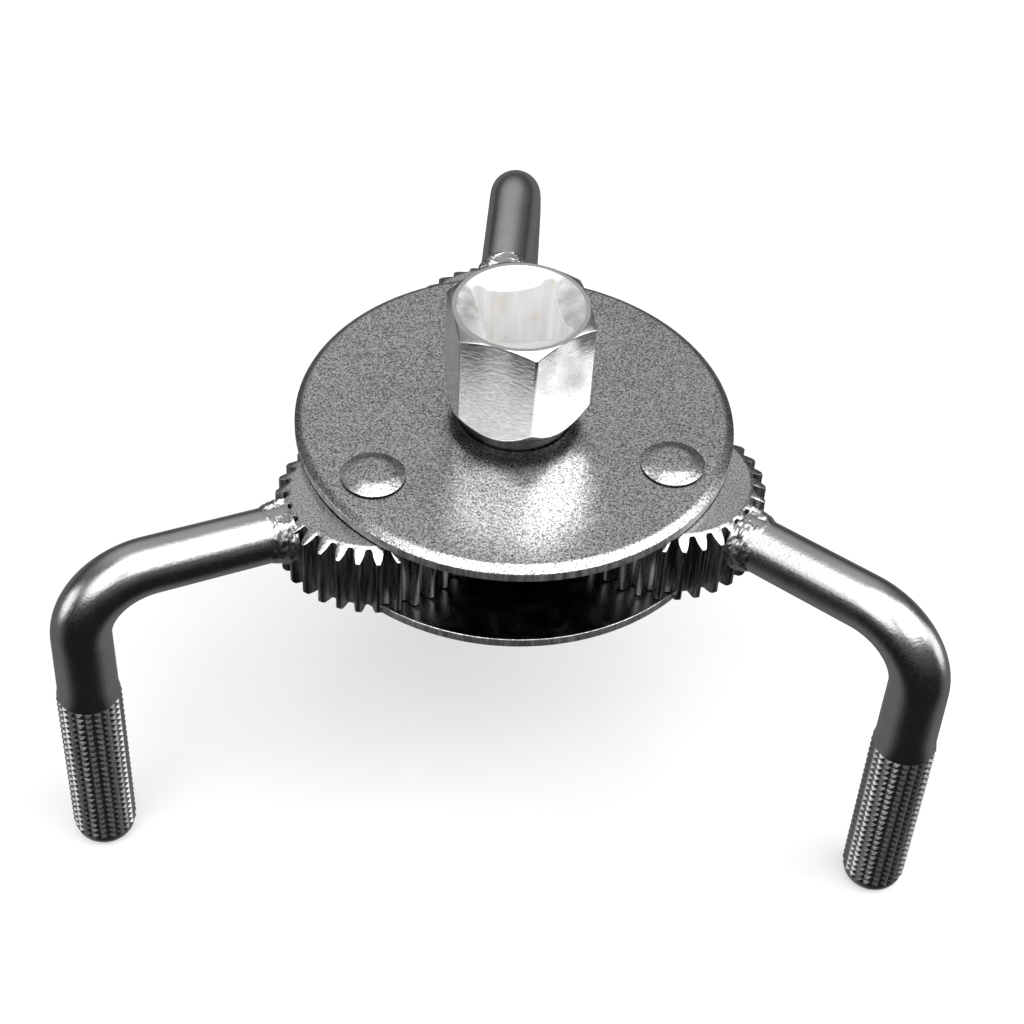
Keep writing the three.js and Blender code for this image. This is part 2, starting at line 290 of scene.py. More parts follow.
def plate(name, low, bore, rolled_up):
    """A blanked plate with a rolled-over edge on one side and three rivet holes, each spot-faced there."""
    high = low + PLATE_THICKNESS
    outward, inward, drop = (high, low, -ROLL_OVER_DROP) if rolled_up else (low, high, ROLL_OVER_DROP)
    disc = lathe(name, [
        (bore, inward, PLATE_BREAK),
        (PLATE_RADIUS, inward, PLATE_BREAK),
        (PLATE_RADIUS, outward + drop, RIM_ROUNDING),
        (PLATE_RADIUS - ROLL_OVER_WIDTH, outward, ROLL_OVER_ROUNDING),
        (bore, outward, PLATE_BREAK),
    ], closed=True, steps=6)
    for leg in LEGS:
        outside = outward + (PLATE_THICKNESS if rolled_up else -PLATE_THICKNESS)
        seat = outward + (-SPOT_FACE_DEPTH if rolled_up else SPOT_FACE_DEPTH)
        through = inward + (-PLATE_THICKNESS if rolled_up else PLATE_THICKNESS)
        hole = lathe("hole", [
            (0, through, 0),
            (RIVET_NECK_RADIUS + RUNNING_GAP, through, 0),
            (RIVET_NECK_RADIUS + RUNNING_GAP, seat, 0),
            (SPOT_FACE_RADIUS, seat, 0),
            (SPOT_FACE_RADIUS, outside, 0),
            (0, outside, 0),
        ], segments=RIVET_SEGMENTS)
        at = pivot_of(leg)
        place(hole, Vector((at.x, at.y, 0)))
        cut(disc, hole)
    return disc


def rivet(name, leg):
    """A shouldered rivet whose low head slopes away round a flat middle."""
    seat = 0.05
    tail_edge = 0.75
    head_foot = PLATE_TOP + 0.35
    head_shoulder = RIVET_TOP - 0.85
    head_slope_width = 2.4
    bottom_plate_top = BOTTOM_PLATE_LOW + PLATE_THICKNESS
    pin = lathe(name, [
        (0, RIVET_LOW, 0),
        (RIVET_TAIL_RADIUS, RIVET_LOW, tail_edge),
        (RIVET_TAIL_RADIUS, BOTTOM_PLATE_LOW - seat, 0.1),
        (RIVET_NECK_RADIUS, BOTTOM_PLATE_LOW - seat, 0),
        (RIVET_NECK_RADIUS, bottom_plate_top + seat, 0),
        (RIVET_BODY_RADIUS, bottom_plate_top + seat, 0.2),
        (RIVET_BODY_RADIUS, PLATE_UNDER - seat, 0.2),
        (RIVET_NECK_RADIUS, PLATE_UNDER - seat, 0),
        (RIVET_NECK_RADIUS, PLATE_TOP + seat, 0),
        (RIVET_HEAD_RADIUS - 0.12, PLATE_TOP + seat, 0.05),
        (RIVET_HEAD_RADIUS, head_foot, 0.1),
        (RIVET_HEAD_RADIUS - 0.3, head_shoulder, 0.25),
        (RIVET_HEAD_RADIUS - head_slope_width, RIVET_TOP - 0.02, 0.8),
        (0, RIVET_TOP, 0),
    ], segments=RIVET_SEGMENTS, steps=8)
    at = pivot_of(leg)
    return place(pin, Vector((at.x, at.y, 0)))


# ---- Gears ---------------------------------------------------------------------------------------

ROOT_FILLET = 0.22
FLANK_STEPS = 7
TIP_STEPS = 3
TOOTH_BREAK = 0.09
PLAIN_RIM_WIDTH = 0.3
PLAIN_RIM_DROP = 0.2
LOWER_CHAMFER = 0.5
TOP_BORDER = 0.25


def involute(angle):
    return math.tan(angle) - angle


def gear_outline(teeth):
    """(angle, radius) pairs once round an involute gear, with one tooth centred on angle 0."""
    pitch = GEAR_MODULE * teeth / 2
    base = pitch * math.cos(PRESSURE_ANGLE)
    tip = pitch + ADDENDUM * GEAR_MODULE
    root = pitch - DEDENDUM * GEAR_MODULE
    half_at_pitch = (math.pi * GEAR_MODULE / 2 - TOOTH_THINNING) / (2 * pitch)
    root_spread = ROOT_FILLET * GEAR_MODULE / pitch

    def half_tooth(radius):
        if radius > base:
            return half_at_pitch + involute(PRESSURE_ANGLE) - involute(math.acos(base / radius))
        below = (base - radius) / (base - root)
        return half_at_pitch + involute(PRESSURE_ANGLE) + root_spread * below ** 2

    flank = [root] + [base + (tip - base) * i / FLANK_STEPS for i in range(FLANK_STEPS + 1)]
    outline = []
    for tooth in range(teeth):
        centre = 2 * math.pi * tooth / teeth
        outline += [(centre - half_tooth(radius), radius) for radius in flank]
        across = half_tooth(tip)
        outline += [(centre - across + 2 * across * i / TIP_STEPS, tip) for i in range(1, TIP_STEPS)]
        outline += [(centre + half_tooth(radius), radius) for radius in reversed(flank)]
    return outline


def gear(name, teeth, turn, bore, bevelled):
    """A gear round the origin, turned by an angle, with or without the cone through its tooth tops."""
    outline = gear_outline(teeth)
    tip = GEAR_MODULE * (teeth / 2 + ADDENDUM)
    flat_edge = HEAD_FLAT_RADIUS if bevelled else tip - PLAIN_RIM_WIDTH
    slope = (HEAD_BEVEL_DROP if bevelled else PLAIN_RIM_DROP) / (tip - flat_edge)
    lower_edge = tip - LOWER_CHAMFER

    def column(i, _):
        radius = outline[i][1]
        rim_top = GEAR_TOP - max(0.0, radius - flat_edge) * slope
        rim_low = GEAR_LOW + max(0.0, radius - lower_edge)
        return [
            (bore, GEAR_LOW), (min(radius, lower_edge), GEAR_LOW), (radius, rim_low),
            (radius, rim_top), (min(radius, flat_edge), GEAR_TOP),
            (min(radius, flat_edge) - TOP_BORDER, GEAR_TOP), (bore, GEAR_TOP),
        ]

    angles = [angle + turn for angle, _ in outline]
    wheel = turned_skin(name, angles, column, closed=True)
    return break_edges(wheel, TOOTH_BREAK)


# ---- Drive hub -----------------------------------------------------------------------------------

def polygon_radius(angle, sides, centre, corner_radius, first_corner):
    """Radius at an angle of a polygon whose rounded corners are centred that far out."""
    spacing = 2 * math.pi / sides
    off = (angle - first_corner + spacing / 2) % spacing - spacing / 2
    flat = centre * math.cos(spacing / 2) + corner_radius
    limit = math.atan2(centre * math.sin(spacing / 2), flat)
    if spacing / 2 - abs(off) < limit:
        return flat / math.cos(spacing / 2 - abs(off))
    return centre * math.cos(off) + math.sqrt(corner_radius ** 2 - (centre * math.sin(off)) ** 2)


HEX_FIRST_CORNER = math.pi / 6
SQUARE_FIRST_CORNER = math.pi / 4
HEX_CORNER_RADIUS = 0.7
HEX_CORNER_CENTRE = (HEX_HALF_FLATS - HEX_CORNER_RADIUS) / math.cos(math.pi / 6)
SQUARE_ARC_CENTRE = SQUARE_SIZE / 2 + SQUARE_CORNER_RELIEF / math.sqrt(2) - SQUARE_CORNER_RADIUS
# How near a corner of the square its flats end, and how far from it the round relief may reach.
SQUARE_FLATS_END = math.radians(7)
SQUARE_RELIEF_REACH = math.radians(16)


def hex_radius(angle):
    return polygon_radius(angle, 6, HEX_CORNER_CENTRE, HEX_CORNER_RADIUS, HEX_FIRST_CORNER)


def square_radius(angle):
    """Radius of the drive square, whose corners are opened into round reliefs."""
    off = (angle + math.pi / 4) % (math.pi / 2) - math.pi / 4
    flat = SQUARE_SIZE / 2 / math.cos(off)
    from_corner = math.pi / 4 - abs(off)
    centre = SQUARE_ARC_CENTRE * math.sqrt(2)
    aside = centre * math.sin(from_corner)
    if aside >= SQUARE_CORNER_RADIUS or from_corner >= SQUARE_RELIEF_REACH:
        return flat
    relief = centre * math.cos(from_corner) + math.sqrt(SQUARE_CORNER_RADIUS ** 2 - aside ** 2)
    return max(flat, relief) if from_corner > SQUARE_FLATS_END else relief


HUB_STEPS = 240
CORNER_STEPS = 19
HEX_CORNER_SPREAD = 3.5
SQUARE_CORNER_SPREAD = 14
LEAST_STEP = 0.0008


def hub_angles():
    """Angles round the hub, closer together at the corners of the hexagon and of the square."""
    angles = list(np.linspace(0, 2 * math.pi, HUB_STEPS, endpoint=False))
    for corners, first, spread in ((6, HEX_FIRST_CORNER, HEX_CORNER_SPREAD),
                                   (4, SQUARE_FIRST_CORNER, SQUARE_CORNER_SPREAD)):
        for corner in range(corners):
            middle = first + 2 * math.pi * corner / corners
            angles += [middle + math.radians(off) for off in np.linspace(-spread, spread, CORNER_STEPS)]
    in_order = sorted({round(angle % (2 * math.pi), 5) for angle in angles})
    following = in_order[1:] + [in_order[0] + 2 * math.pi]
    return [a for a, b in zip(in_order, following) if b - a > LEAST_STEP]


def drive_hub():
    """Hexagon with turned chamfers, neck, shank and journal, and the countersunk drive square."""
    def column(_, angle):
        hexagon = hex_radius(angle)
        square = square_radius(angle)
        foot_rise = (hexagon - HEX_FOOT_RADIUS) / math.tan(HEX_FOOT_SLOPE)
        crown_drop = max(0.0, hexagon - HEX_CROWN_RADIUS) * math.tan(HEX_CROWN_SLOPE)
        shank = min(SHANK_RADIUS, SHANK_HALF_FLATS / max(abs(math.sin(angle)), 1e-6))
        return rounded([
            (0, HUB_LOW, 0),
            (JOURNAL_RADIUS, HUB_LOW, 0.4),
            (JOURNAL_RADIUS, GROOVE_LOW, 0.05),
            (GROOVE_RADIUS, GROOVE_LOW, 0.1),
            (GROOVE_RADIUS, GROOVE_TOP, 0.1),
            (JOURNAL_RADIUS, GROOVE_TOP, 0.05),
            (JOURNAL_RADIUS, GEAR_LOW, 0),
            (shank, GEAR_LOW, 0),
            (shank, GEAR_TOP, 0),
            (NECK_RADIUS, GEAR_TOP, 0.1),
            (NECK_RADIUS, HEX_FOOT, 0.2),
            (HEX_FOOT_RADIUS, HEX_FOOT, 0.15),
            (hexagon, HEX_FOOT + foot_rise, 0.3),
            (hexagon, HUB_TOP - crown_drop, 0.22),
            (min(HEX_CROWN_RADIUS, hexagon - 0.02), HUB_TOP, 0.05),
            (MOUTH_RADIUS, HUB_TOP, 0.05),
            (square, HUB_TOP - (MOUTH_RADIUS - square) * math.tan(MOUTH_SLOPE), 0.25),
            (square, SOCKET_FLOOR, 0.3),
            (0, SOCKET_FLOOR, 0),
        ], steps=3)

    hub = turned_skin("hub", hub_angles(), column)
    return place(hub, Vector(), HUB_TURN)


# ---- Bent rods and welds -------------------------------------------------------------------------

KNURL_COLUMNS = 22
KNURL_ROWS = 24
KNURL_DEPTH = 0.32
KNURL_LINES = (0.07, 0.42, 0.58, 0.93)
KNURL_RUN_IN = 1.4
KNURL_STEP = 0.12
TIP_SMOOTH = 2.4
TIP_RUN_OUT = 0.2
ROD_END_BREAK = 0.3
BAR_LENGTH = FOOT_REACH - BEND_RADIUS - ROD_END
BAR_ROWS = 9
BEND_ROWS = 33
LEG_ROWS = 6
DOME_ROWS = 10


def rod_rows():
    """(distance along the rod, radius, what the row is in the knurl) from the head to the foot."""
    leg_start = BAR_LENGTH + BEND_RADIUS * math.pi / 2
    level = ROD_AXIS - BEND_RADIUS
    knurl = leg_start + level - KNURL_TOP
    length = leg_start + level - FOOT_LEVEL
    swelling = LEG_SHOULDER_RADIUS - ROD_RADIUS

    def smooth(start, end, share_at_start, share_at_end, steps):
        return [(start + (end - start) * t,
                 ROD_RADIUS + swelling * (share_at_start + (share_at_end - share_at_start) * t), False)
                for t in np.linspace(0, 1, steps)]

    rows = [(0, 0, False), (0, ROD_RADIUS - ROD_END_BREAK, False)]
    rows += smooth(ROD_END_BREAK, BAR_LENGTH, 0, BAR_SWELLING, BAR_ROWS)[:-1]
    rows += smooth(BAR_LENGTH, leg_start, BAR_SWELLING, BEND_SWELLING, BEND_ROWS)[:-1]
    rows += smooth(leg_start, knurl - KNURL_RUN_IN, BEND_SWELLING, 1, LEG_ROWS)
    rows += [(knurl, KNURL_RADIUS - KNURL_STEP, False)]
    first = knurl + KNURL_STEP
    last = length - TIP_SMOOTH
    pitch = (last - first) / KNURL_ROWS
    for row in range(KNURL_ROWS):
        for i, line in enumerate(KNURL_LINES):
            rows.append((first + (row + line) * pitch, KNURL_RADIUS, "crest" if i in (1, 2) else "valley"))
    valley = KNURL_RADIUS - KNURL_DEPTH
    dome_start = last + TIP_RUN_OUT
    for t in np.linspace(0, 1, DOME_ROWS):
        angle = t * math.pi / 2
        rows.append((dome_start + (length - dome_start) * math.sin(angle),
                     TIP_RADIUS + (valley - TIP_RADIUS) * math.cos(angle), False))
    rows.append((length, 0, False))
    return rows


def bent(along, angle, radius):
    """A point on the rod, along its axis from the head and round it. The rod leaves along +X and bends
    down."""
    turn = min(max((along - BAR_LENGTH) / BEND_RADIUS, 0), math.pi / 2)
    drop = max(along - BAR_LENGTH - BEND_RADIUS * math.pi / 2, 0)
    side = radius * math.sin(angle)
    out = BEND_RADIUS + radius * math.cos(angle)
    return (ROD_END + min(along, BAR_LENGTH) + out * math.sin(turn), side,
            ROD_AXIS - BEND_RADIUS + out * math.cos(turn) - drop)


def bent_rod(name):
    """The bar, its bend and its leg, with the knurl's pyramids as real shape."""
    lines = [(column + line) / KNURL_COLUMNS for column in range(KNURL_COLUMNS) for line in KNURL_LINES]
    crest_line = [i % 4 in (1, 2) for i in range(len(lines))]
    around = len(lines)
    points, raised = [], []
    rows = rod_rows()
    for along, radius, knurl in rows:
        for line, on_crest in zip(lines, crest_line):
            high = not knurl or (knurl == "crest" and on_crest)
            points.append(bent(along, 2 * math.pi * line, radius if high else radius - KNURL_DEPTH))
            raised.append(bool(knurl) and high)
    faces = []
    for i in range(len(rows) - 1):
        for j in range(around):
            k = (j + 1) % around
            quad = (i * around + j, i * around + k, (i + 1) * around + k, (i + 1) * around + j)
            peaks = [q for q in range(4) if raised[quad[q]]]
            if len(peaks) == 1 and rows[i][2] and rows[i + 1][2]:
                a, b, c, d = (quad[(peaks[0] + step) % 4] for step in range(4))
                faces += [(a, b, c), (a, c, d)]
            else:
                faces.append(quad)
    return piece_from(name, points, faces, KNURL_SHARP_ANGLE)


# The bead's unevenness: how fine each kind of lump is, and how high in millimetres.
WELD_LUMPS = ((0.8, 0.34), (1.9, 0.22), (4.5, 0.10))
WELD_ROWS = 34
WELD_COLUMNS = 120
WELD_SEED_STEP = 20
WELD_CEILING = GEAR_TOP + 0.1
WELD_FLAT_DROP = 0.28
WELD_FLAT_LUMPS = 1.3
WELD_WANDER = 0.7
WELD_WANDER_FINENESS = 0.6
WELD_BELLY_START = 0.35


def weld_bead(name, seed):
    """An uneven bead over the rod's root and the nearest teeth, low enough to pass under the top plate."""
    rows, around = WELD_ROWS, WELD_COLUMNS
    inner = ROD_RADIUS - 0.6
    toe = ROD_RADIUS - 0.05
    points = []
    for i in range(rows):
        t = i / (rows - 1)
        along = WELD_START + WELD_LENGTH * t
        belly = math.sin(math.pi * min(1.0, WELD_BELLY_START + (1 - WELD_BELLY_START) * t))
        for j in range(around):
            angle = 2 * math.pi * j / around
            spot = Vector((along, 3 * math.cos(angle), 3 * math.sin(angle) + WELD_SEED_STEP * seed))
            lumps = sum(depth * noise.noise(spot * fineness) for fineness, depth in WELD_LUMPS)
            radius = inner if i in (0, rows - 1) else toe + (WELD_ROOT_RADIUS - toe) * belly + lumps * belly
            elsewhere = spot * WELD_WANDER_FINENESS + Vector((9, 9, 9))
            wander = WELD_WANDER * noise.noise(elsewhere) * t
            height = ROD_AXIS + radius * math.cos(angle)
            if height > WELD_CEILING:
                height = WELD_CEILING - max(0.0, WELD_FLAT_DROP + WELD_FLAT_LUMPS * lumps)
            points.append((along + wander, radius * math.sin(angle), height))
    faces = []
    for i in range(rows):
        m = (i + 1) % rows
        for j in range(around):
            k = (j + 1) % around
            faces.append((i * around + j, i * around + k, m * around + k, m * around + j))
    return piece_from(name, points, faces, WELD_SHARP_ANGLE)


# ---- Materials -----------------------------------------------------------------------------------

class Shader:
    """A material's nodes, made one after another."""

    def __init__(self, name):
        self.material = bpy.data.materials.new(name)
        self.material.use_nodes = True
        self.nodes = self.material.node_tree.nodes
        self.links = self.material.node_tree.links
        self.surface = self.nodes["Principled BSDF"]
        self.place = self.nodes.new("ShaderNodeTexCoord").outputs["Object"]

    def add(self, kind, **settings):
        node = self.nodes.new(kind)
        for key, value in settings.items():
            setattr(node, key, value)
        return node

    def scaled(self, factors):
        node = self.add("ShaderNodeMapping")
        node.inputs["Scale"].default_value = factors
        self.links.new(self.place, node.inputs["Vector"])
        return node.outputs["Vector"]

    def noise(self, scale, detail=3.0, roughness=0.55, distortion=0.0, stretch=(1, 1, 1)):
        node = self.add("ShaderNodeTexNoise")
        self.links.new(self.scaled(stretch), node.inputs["Vector"])
        node.inputs["Scale"].default_value = scale
        node.inputs["Detail"].default_value = detail
        node.inputs["Roughness"].default_value = roughness
        node.inputs["Distortion"].default_value = distortion
        return node.outputs["Fac"]

    def ramp(self, value, low, high, at=(0.35, 0.65)):
        """Maps a value to a spread of numbers or colours."""
        node = self.add("ShaderNodeValToRGB")
        self.links.new(value, node.inputs["Fac"])
        for element, position, colour in zip(node.color_ramp.elements, at, (low, high)):
            element.position = position
            element.color = (*colour, 1) if hasattr(colour, "__len__") else (colour, colour, colour, 1)
        return node.outputs["Color"]

    def multiply(self, a, b):
        """The product of two colours."""
        node = self.add("ShaderNodeMix", data_type="RGBA", blend_type="MULTIPLY")
        node.inputs[0].default_value = 1.0
        colours = [s for s in node.inputs if s.type == "RGBA"]
        self.links.new(a, colours[0])
        self.links.new(b, colours[1])
        return next(s for s in node.outputs if s.type == "RGBA")

    def bumps(self, *layers):
        """Stacks bumps of (height, depth in millimetres) on the surface."""
        normal = None
        for height, depth in layers:
            node = self.add("ShaderNodeBump")
            node.inputs["Distance"].default_value = depth * MM
            self.links.new(height, node.inputs["Height"])
            if normal is not None:
                self.links.new(normal, node.inputs["Normal"])
            normal = node.outputs["Normal"]
        self.links.new(normal, self.surface.inputs["Normal"])

    def set(self, **values):
        for name, value in values.items():
            socket = self.surface.inputs[name.replace("_", " ")]
            if hasattr(value, "is_linked"):
                self.links.new(value, socket)
            else:
                socket.default_value = value


def blasted_plate():
    """Grit-blasted steel under bright plating: satin, with a fine sparkle and faint cloudiness."""
    s = Shader("blasted_plate")
    cloud = s.noise(60, 4)
    grit = s.noise(3000, 2, 0.6)
    fine = s.noise(5200, 1, 0.5)
    tone = s.multiply(s.ramp(cloud, (0.90, 0.90, 0.91), (1.0, 1.0, 1.0)),
                      s.ramp(grit, (0.20, 0.20, 0.21), (0.98, 0.98, 0.98), (0.36, 0.64)))
    s.set(Base_Color=tone, Metallic=1.0, Roughness=s.ramp(fine, 0.21, 0.34, (0.3, 0.7)))
    s.bumps((cloud, 0.01), (grit, 0.022), (fine, 0.006))
    return s.material


def sheared_edge():
    """The plates' blanked edges: duller, with fine upright tear marks."""
    s = Shader("sheared_edge")
    tears = s.noise(1500, 3, 0.6, 0.0, (1, 1, 0.15))
    s.set(Base_Color=s.ramp(tears, (0.42, 0.42, 0.43), (0.66, 0.66, 0.66)), Metallic=1.0,
          Roughness=s.ramp(tears, 0.50, 0.66))
    s.bumps((tears, 0.02))
    return s.material


def painted_shade_inner_plate():
    """The plates' inward faces: smooth, and darkened as painted shade between the plates."""
    s = Shader("painted_shade_inner_plate")
    mottle = s.noise(220, 4, 0.6, 0.5)
    s.set(Base_Color=s.ramp(mottle, (0.10, 0.10, 0.10), (0.22, 0.22, 0.21)), Metallic=1.0,
          Roughness=s.ramp(mottle, 0.16, 0.30))
    s.bumps((mottle, 0.01))
    return s.material


def hub_chrome(name, ripple_depth, roughness, painted_dimming=1.0, stretch=(0.55, 0.55, 1.5)):
    """Bright chrome over a machined hexagon, with shallow slanting ripples."""
    s = Shader(name)
    ripple = s.noise(1300, 3, 0.6, 0.3, stretch)
    haze = s.noise(150, 3)
    # A dimming below 1 darkens this copy's colour as painted shade.
    s.set(Base_Color=s.ramp(haze, 0.78 * painted_dimming, 0.86 * painted_dimming), Metallic=1.0,
          Roughness=s.ramp(ripple, *roughness))
    s.bumps((ripple, ripple_depth))
    return s.material


def socket_lining(name, metallic):
    """The broached square and its countersink: pale, a little hazy, with upright streaks and warm stains."""
    s = Shader(name)
    streak = s.noise(500, 3, 0.6, 0.0, (1, 1, 0.06))
    stain = s.noise(210, 3, 0.6, 0.4, (1, 1, 0.5))
    tone = s.multiply(s.ramp(streak, (0.84, 0.84, 0.84), (1.0, 1.0, 1.0)),
                      s.ramp(stain, (1.0, 1.0, 1.0), (0.93, 0.86, 0.77), (0.58, 0.72)))
    s.set(Base_Color=tone, Metallic=metallic, Roughness=s.ramp(streak, 0.30, 0.48))
    s.bumps((streak, 0.012))
    return s.material


def painted_recess_shade():
    """Painted shade: near-black steel for the hub's neck and shank, the rivets' steep sides and the rivet holes.
    """
    s = Shader("painted_recess_shade")
    mottle = s.noise(400, 4)
    s.set(Base_Color=s.ramp(mottle, (0.035, 0.035, 0.036), (0.09, 0.09, 0.09)), Metallic=1.0,
          Roughness=s.ramp(mottle, 0.30, 0.50))
    s.bumps((mottle, 0.012))
    return s.material


def rod_chrome():
    """Chrome plating on drawn bar, lightly grained."""
    s = Shader("rod_chrome")
    grain = s.noise(2300, 3, 0.65)
    pits = s.noise(800, 2)
    haze = s.noise(90, 3)
    s.set(Base_Color=s.ramp(haze, (0.64, 0.64, 0.65), (0.74, 0.74, 0.74)), Metallic=1.0,
          Roughness=s.ramp(grain, 0.15, 0.27))
    s.bumps((pits, 0.018), (grain, 0.028))
    return s.material


def gear_steel():
    """Plated gear steel, blasted on its flats."""
    s = Shader("gear_steel")
    grit = s.noise(3000, 2, 0.6)
    haze = s.noise(120, 3)
    tone = s.multiply(s.ramp(haze, (0.88, 0.88, 0.88), (1.0, 1.0, 1.0)),
                      s.ramp(grit, (0.36, 0.36, 0.37), (0.98, 0.98, 0.98), (0.34, 0.66)))
    s.set(Base_Color=tone, Metallic=1.0, Roughness=s.ramp(grit, 0.16, 0.28))
    s.bumps((grit, 0.018))
    return s.material


def shaded_tooth_flank():
    """The teeth's flanks: darkened as painted shade, with streaks drawn out upright by the cutter."""
    s = Shader("shaded_tooth_flank")
    cutter = s.noise(1600, 3, 0.6, 0.0, (1, 1, 0.07))
    s.set(Base_Color=s.ramp(cutter, (0.22, 0.22, 0.225), (0.68, 0.68, 0.68), (0.40, 0.66)), Metallic=1.0,
          Roughness=s.ramp(cutter, 0.20, 0.38))
    s.bumps((cutter, 0.014))
    return s.material


def weld_metal():
    """Plated weld bead: lumpy and bright, with dark specks."""
    s = Shader("weld_metal")
    ripple = s.noise(1100, 4, 0.65, 0.8)
    speck = s.noise(2300, 3, 0.7)
    tone = s.multiply(s.ramp(ripple, (0.50, 0.50, 0.49), (0.76, 0.76, 0.75)),
                      s.ramp(speck, 0.25, 1.0, (0.30, 0.42)))
    s.set(Base_Color=tone, Metallic=1.0, Roughness=s.ramp(ripple, 0.18, 0.40))
    s.bumps((ripple, 0.06), (speck, 0.02))
    return s.material


def black_spring():
    """Blackened spring steel."""
    s = Shader("black_spring")
    haze = s.noise(500, 3)
    s.set(Base_Color=s.ramp(haze, (0.03, 0.03, 0.032), (0.075, 0.075, 0.08)), Metallic=0.6,
          Roughness=s.ramp(haze, 0.35, 0.55))
    s.bumps((haze, 0.02))
    return s.material


def pale_floor_material():
    s = Shader("pale_floor")
    paper = s.noise(40, 4)
    s.set(Base_Color=s.ramp(paper, (0.55, 0.55, 0.55), (0.57, 0.57, 0.57)), Roughness=0.9,
          Emission_Color=(1, 1, 1, 1), Emission_Strength=0.42)
    return s.material


# ---- Assembly ------------------------------------------------------------------------------------

# How far a face's normal may lean on Z: below a limit for walls and cones, and above it for level faces.
PLATE_LEVEL = 0.9
PLATE_WALL = 0.35
SOCKET_CONE = 0.95
SOCKET_WALL = 0.6
GEAR_WALL = 0.3
RIVET_WALL = 0.4
# The hexagon's rippled face, also darkened as painted shade, as its angle round the hub, and how closely a normal
# has to point that way.
RIPPLED_FACE = math.radians(240)
ON_RIPPLED_FACE = 0.99
# How far past a height a face's centre may lie and still count as being there, in millimetres.
FLOOR_SLACK = 0.1
FOOT_SLACK = 0.01


def plate_face(centre, inward):
    """Which of a plate's materials a face takes: 0 outward, 1 inward with painted shade, 2 its edge, 3 round a
    rivet in painted shade.
    """
    if any((centre - pivot_of(leg)).xy.length < RIVET_NECK_RADIUS for leg in LEGS):
        return 3
    if inward > PLATE_LEVEL:
        return 1
    return 2 if abs(inward) < PLATE_WALL and centre.xy.length > PLATE_RADIUS - ROLL_OVER_WIDTH else 0


def hub_face(centre, normal):
    """Which of the hub's materials a face takes: 1 for the painted shade on the neck and shank, 2 for the square's
    walls, 3 for the rippled face, darkened as painted shade, and 4 for the countersink."""
    in_socket = centre.z > SOCKET_FLOOR - FLOOR_SLACK and centre.xy.length < MOUTH_RADIUS
    if in_socket and abs(normal.z) < SOCKET_CONE:
        return 2 if abs(normal.z) < SOCKET_WALL else 4
    if GEAR_LOW < centre.z < HEX_FOOT + FOOT_SLACK:
        return 1
    rippled = HUB_TURN + RIPPLED_FACE
    across = normal.xy.dot(Vector((math.cos(rippled), math.sin(rippled))))
    return 3 if across > ON_RIPPLED_FACE else 0


def gear_face(centre, normal):
    """Which of a gear's materials a face takes: 1 for the flanks, which are darkened as painted shade."""
    return int(abs(normal.z) < GEAR_WALL)


def rivet_face(centre, normal):
    """Which of a rivet's materials a face takes: 1 for its steep sides, in painted shade."""
    return int(abs(normal.z) < RIVET_WALL)


def build_plates(plate_steel, recess_shade):
    """The two plates, whose plain sides face each other."""
    # The inward faces and the faces round the rivets take painted shade.
    materials = [plate_steel, painted_shade_inner_plate(), sheared_edge(), recess_shade]
    top = plate("plate_top", PLATE_UNDER, NECK_RADIUS + RUNNING_GAP, True)
    paint(top, materials, lambda centre, normal: plate_face(centre, -normal.z))
    finish_piece(top, "carrier", "top_plate")
    bottom = plate("plate_bottom", BOTTOM_PLATE_LOW, JOURNAL_RADIUS + RUNNING_GAP, False)
    paint(bottom, materials, lambda centre, normal: plate_face(centre, normal.z))
    finish_piece(bottom, "carrier", "bottom_plate")


def build_drive(gear_materials, recess_shade):
    """The hub, its sun gear and its ring, which keeps its CAD shape."""
    hub_steel = hub_chrome("hub_chrome", 0.016, (0.16, 0.28))
    # A copy with deeper ripples, darkened as painted shade for the rippled face.
    rippled_shaded_steel = hub_chrome("hub_rippled_shaded", 0.075, (0.28, 0.42), 0.72, (0.8, 0.8, 1.3))
    lining = socket_lining("socket_wall", 0.3)
    countersink = socket_lining("countersink", 0.78)
    hub = drive_hub()
    # The neck and shank take painted shade, and the rippled face a darker copy of the chrome as painted shade.
    paint(hub, [hub_steel, recess_shade, lining, rippled_shaded_steel, countersink], hub_face)
    finish_piece(hub, "drive", "drive_hub")
    half_pitch = math.pi / SUN_TEETH
    sun = gear("gear_sun", SUN_TEETH, math.pi / 2 + half_pitch, SHANK_RADIUS + RUNNING_GAP, False)
    paint(sun, gear_materials, gear_face)
    finish_piece(sun, "drive", "sun_gear")
    ring = frame["nodes"]["retaining_ring"]
    ring.data.materials.clear()
    ring.data.materials.append(black_spring())


def build_jaw(leg, seed, gear_materials, rivet_materials, rod_steel, bead_metal):
    """One rivet with its geared head, bent rod and weld."""
    body = f"jaw_{leg}"
    pivot = pivot_of(leg)
    centre = Vector((pivot.x, pivot.y, 0))
    outward = math.atan2(pivot.y, pivot.x)
    pin = rivet(f"pin_{leg}", leg)
    paint(pin, rivet_materials, rivet_face)
    finish_piece(pin, "carrier", f"rivet_{leg}")
    head = gear(f"head_{leg}", HEAD_TEETH, outward, RIVET_BODY_RADIUS + RUNNING_GAP, True)
    paint(head, gear_materials, gear_face)
    finish_piece(place(head, centre), body, f"jaw_gear_{leg}")
    rod = place(bent_rod(f"rod_{leg}"), centre, arm_angle(leg))
    paint(rod, [rod_steel])
    finish_piece(rod, body, f"jaw_rod_{leg}")
    bead = place(weld_bead(f"bead_{leg}", seed), centre, arm_angle(leg))
    paint(bead, [bead_metal])
    finish_piece(bead, body, f"jaw_weld_{leg}")


